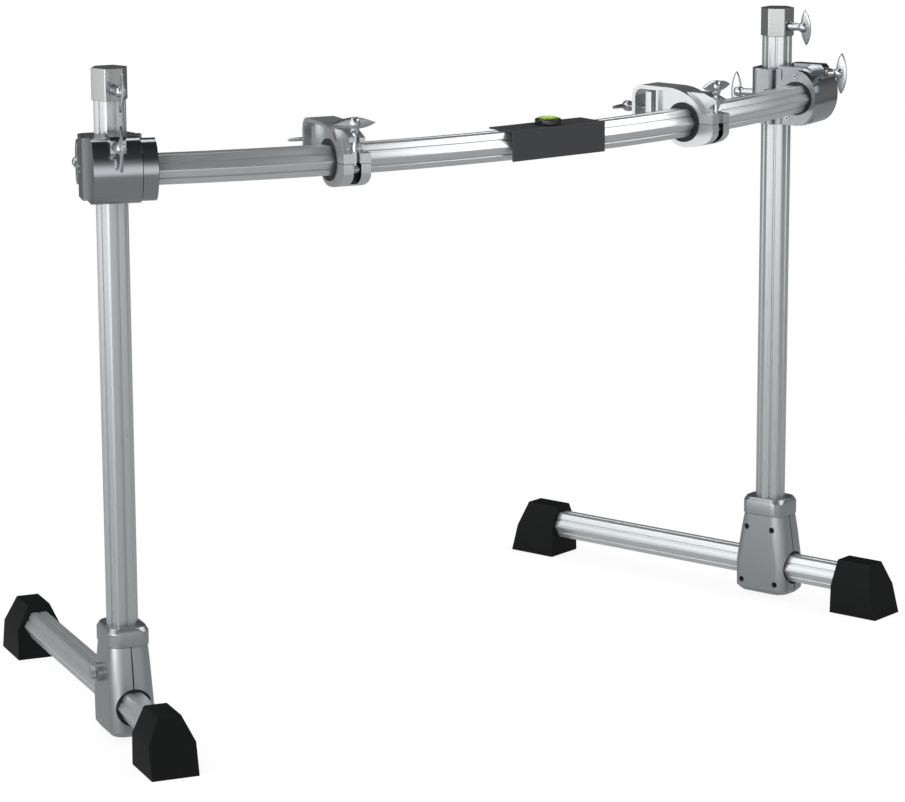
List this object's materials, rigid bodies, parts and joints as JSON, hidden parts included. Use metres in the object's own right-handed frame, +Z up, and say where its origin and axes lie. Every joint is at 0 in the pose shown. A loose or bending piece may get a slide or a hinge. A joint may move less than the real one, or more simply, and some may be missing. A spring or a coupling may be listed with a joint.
{
  "type": "drum rack frame",
  "caption": "Free-standing curved front rack for drums: hexagonal crossbar held between splayed T-legs, with sliding accessory clamps, wing screws and a spirit level.",
  "frame": {"origin": "on the floor, under the centre of the frame's bounding box", "axes": "+X along the crossbar from left to right as seen from the front, +Y to the rear, towards the player, +Z up"},
  "size_m": [1.1692, 0.603, 0.793],
  "materials": {
    "anodised": "satin anodised",
    "cast_satin": "satin cast",
    "cast_bright": "polished cast",
    "steel": "zinc plated",
    "nylon": "black moulded",
    "rubber": "matt black",
    "powder_black": "black powder coat",
    "liquid": "clear green"
  },
  "bodies": {
    "legs": {"left_upright": "anodised", "left_top_cap": "cast_satin", "left_base_outer_shell": "cast_satin", "left_base_inner_shell": "cast_satin", "left_base_collar": "cast_satin", "left_base_lock_bolt": "steel", "left_foot_bar": "anodised", "left_front_foot": "rubber", "left_rear_foot": "rubber", "right_upright": "anodised", "right_top_cap": "cast_satin", "right_base_outer_shell": "cast_satin", "right_base_inner_shell": "cast_satin", "right_base_collar": "cast_satin", "right_base_lock_bolt": "steel", "right_foot_bar": "anodised", "right_front_foot": "rubber", "right_rear_foot": "rubber"},
    "bar_assembly": {"crossbar": "anodised", "badge_bracket": "powder_black", "level_ring": "powder_black", "level_vial": "liquid", "left_joint_body": "cast_bright", "left_bar_collar": "cast_bright", "left_bar_liner": "nylon", "left_upright_liner": "nylon", "left_bar_jaw_pin": "steel", "left_upright_jaw_pin": "steel", "right_joint_body": "cast_bright", "right_bar_collar": "cast_bright", "right_bar_liner": "nylon", "right_upright_liner": "nylon", "right_bar_jaw_pin": "steel", "right_upright_jaw_pin": "steel"},
    "left_cap_screw": {"left_cap_wing_bolt": "cast_bright"},
    "right_cap_screw": {"right_cap_wing_bolt": "cast_bright"},
    "left_front_jaw": {"left_bar_jaw": "cast_bright"},
    "right_front_jaw": {"right_bar_jaw": "cast_bright"},
    "left_front_screw": {"left_bar_wing_bolt": "cast_bright"},
    "right_front_screw": {"right_bar_wing_bolt": "cast_bright"},
    "left_rear_jaw": {"left_upright_jaw": "cast_bright"},
    "right_rear_jaw": {"right_upright_jaw": "cast_bright"},
    "left_rear_screw": {"left_upright_wing_bolt": "cast_bright"},
    "right_rear_screw": {"right_upright_wing_bolt": "cast_bright"},
    "left_clamp": {"left_clamp_arm": "cast_bright", "left_clamp_pin": "steel", "left_clamp_liner": "nylon"},
    "right_clamp": {"right_clamp_arm": "cast_bright", "right_clamp_pin": "steel", "right_clamp_liner": "nylon"},
    "left_lower_jaw": {"left_clamp_jaw": "cast_bright"},
    "right_lower_jaw": {"right_clamp_jaw": "cast_bright"},
    "left_bolt": {"left_swing_bolt": "steel"},
    "right_bolt": {"right_swing_bolt": "steel"},
    "left_nut": {"left_wing_nut": "cast_bright"},
    "right_nut": {"right_wing_nut": "cast_bright"},
    "left_shoe": {"left_clamp_shoe": "cast_satin"},
    "right_shoe": {"right_clamp_shoe": "cast_satin"},
    "left_shoe_screw": {"left_shoe_wing_bolt": "cast_bright"},
    "right_shoe_screw": {"right_shoe_wing_bolt": "cast_bright"}
  },
  "joints": [
    {"name": "bar_height", "type": "slide", "parent": "legs", "child": "bar_assembly", "axis": [0, 0, 1], "range_m": [-0.49, 0.02]},
    {"name": "left_cap_screw_turn", "type": "hinge", "parent": "legs", "child": "left_cap_screw", "pos_m": [-0.51523, -0.12905, 0.769], "axis": [-0.2419, -0.9703, 0], "continuous": true},
    {"name": "right_cap_screw_turn", "type": "hinge", "parent": "legs", "child": "right_cap_screw", "pos_m": [0.51523, -0.12905, 0.769], "axis": [0.2419, -0.9703, 0], "continuous": true},
    {"name": "left_front_jaw_open", "type": "hinge", "parent": "bar_assembly", "child": "left_front_jaw", "pos_m": [-0.52967, -0.15629, 0.6505], "axis": [0.9212, -0.389, 0], "range_deg": [0, 3.5]},
    {"name": "right_front_jaw_open", "type": "hinge", "parent": "bar_assembly", "child": "right_front_jaw", "pos_m": [0.52967, -0.15629, 0.6505], "axis": [0.9212, 0.389, 0], "range_deg": [0, 3.5]},
    {"name": "left_front_screw_turn", "type": "hinge", "parent": "bar_assembly", "child": "left_front_screw", "pos_m": [-0.53151, -0.15551, 0.711], "axis": [-0.389, -0.9212, 0], "continuous": true},
    {"name": "right_front_screw_turn", "type": "hinge", "parent": "bar_assembly", "child": "right_front_screw", "pos_m": [0.53151, -0.15551, 0.711], "axis": [0.389, -0.9212, 0], "continuous": true},
    {"name": "left_rear_jaw_open", "type": "hinge", "parent": "bar_assembly", "child": "left_rear_jaw", "pos_m": [-0.48621, -0.12688, 0.681], "axis": [0, 0, -1], "range_deg": [0, 3.5]},
    {"name": "right_rear_jaw_open", "type": "hinge", "parent": "bar_assembly", "child": "right_rear_jaw", "pos_m": [0.48621, -0.12688, 0.681], "axis": [0, 0, 1], "range_deg": [0, 3.5]},
    {"name": "left_rear_screw_turn", "type": "hinge", "parent": "bar_assembly", "child": "left_rear_screw", "pos_m": [-0.53364, -0.09165, 0.675], "axis": [0.389, 0.9212, 0], "continuous": true},
    {"name": "right_rear_screw_turn", "type": "hinge", "parent": "bar_assembly", "child": "right_rear_screw", "pos_m": [0.53364, -0.09165, 0.675], "axis": [-0.389, 0.9212, 0], "continuous": true},
    {"name": "left_clamp_along_bar", "type": "hinge", "parent": "bar_assembly", "child": "left_clamp", "pos_m": [0, 0.97475, 0.681], "axis": [0, 0, 1], "range_deg": [-7, 7.5]},
    {"name": "right_clamp_along_bar", "type": "hinge", "parent": "bar_assembly", "child": "right_clamp", "pos_m": [0, 0.97475, 0.681], "axis": [0, 0, 1], "range_deg": [-7, 8.5]},
    {"name": "left_lower_jaw_open", "type": "hinge", "parent": "left_clamp", "child": "left_lower_jaw", "pos_m": [-0.27203, -0.21299, 0.681], "axis": [0.9748, -0.2233, 0], "range_deg": [0, 20]},
    {"name": "right_lower_jaw_open", "type": "hinge", "parent": "right_clamp", "child": "right_lower_jaw", "pos_m": [0.24085, -0.21971, 0.681], "axis": [0.9803, 0.1977, 0], "range_deg": [0, 20]},
    {"name": "left_bolt_swing", "type": "hinge", "parent": "left_lower_jaw", "child": "left_bolt", "pos_m": [-0.2871, -0.27879, 0.674], "axis": [0.9748, -0.2233, 0], "range_deg": [0, 100]},
    {"name": "right_bolt_swing", "type": "hinge", "parent": "right_lower_jaw", "child": "right_bolt", "pos_m": [0.25419, -0.28588, 0.674], "axis": [0.9803, 0.1977, 0], "range_deg": [0, 100]},
    {"name": "left_nut_turn", "type": "hinge", "parent": "left_bolt", "child": "left_nut", "pos_m": [-0.2871, -0.27879, 0.72028], "axis": [0, 0, 1], "continuous": true},
    {"name": "right_nut_turn", "type": "hinge", "parent": "right_bolt", "child": "right_nut", "pos_m": [0.25419, -0.28588, 0.72028], "axis": [0, 0, 1], "continuous": true},
    {"name": "left_shoe_slide", "type": "slide", "parent": "left_clamp", "child": "left_shoe", "axis": [-0.2233, -0.9748, 0], "range_m": [0, 0.009]},
    {"name": "right_shoe_slide", "type": "slide", "parent": "right_clamp", "child": "right_shoe", "axis": [0.1977, -0.9803, 0], "range_m": [0, 0.009]},
    {"name": "left_shoe_screw_turn", "type": "hinge", "parent": "left_shoe", "child": "left_shoe_screw", "pos_m": [-0.26522, -0.18326, 0.691], "axis": [-0.2233, -0.9748, 0], "continuous": true},
    {"name": "right_shoe_screw_turn", "type": "hinge", "parent": "right_shoe", "child": "right_shoe_screw", "pos_m": [0.23482, -0.18981, 0.691], "axis": [0.1977, -0.9803, 0], "continuous": true}
  ],
  "couplings": [
    {"joint": "left_bolt_swing", "follows": "left_lower_jaw_open", "ratio": 5},
    {"joint": "right_bolt_swing", "follows": "right_lower_jaw_open", "ratio": 5},
    {"joint": "left_shoe_screw_turn", "follows": "left_shoe_slide", "rad_per_m": 5026.5},
    {"joint": "right_shoe_screw_turn", "follows": "right_shoe_slide", "rad_per_m": 5026.5}
  ]
}
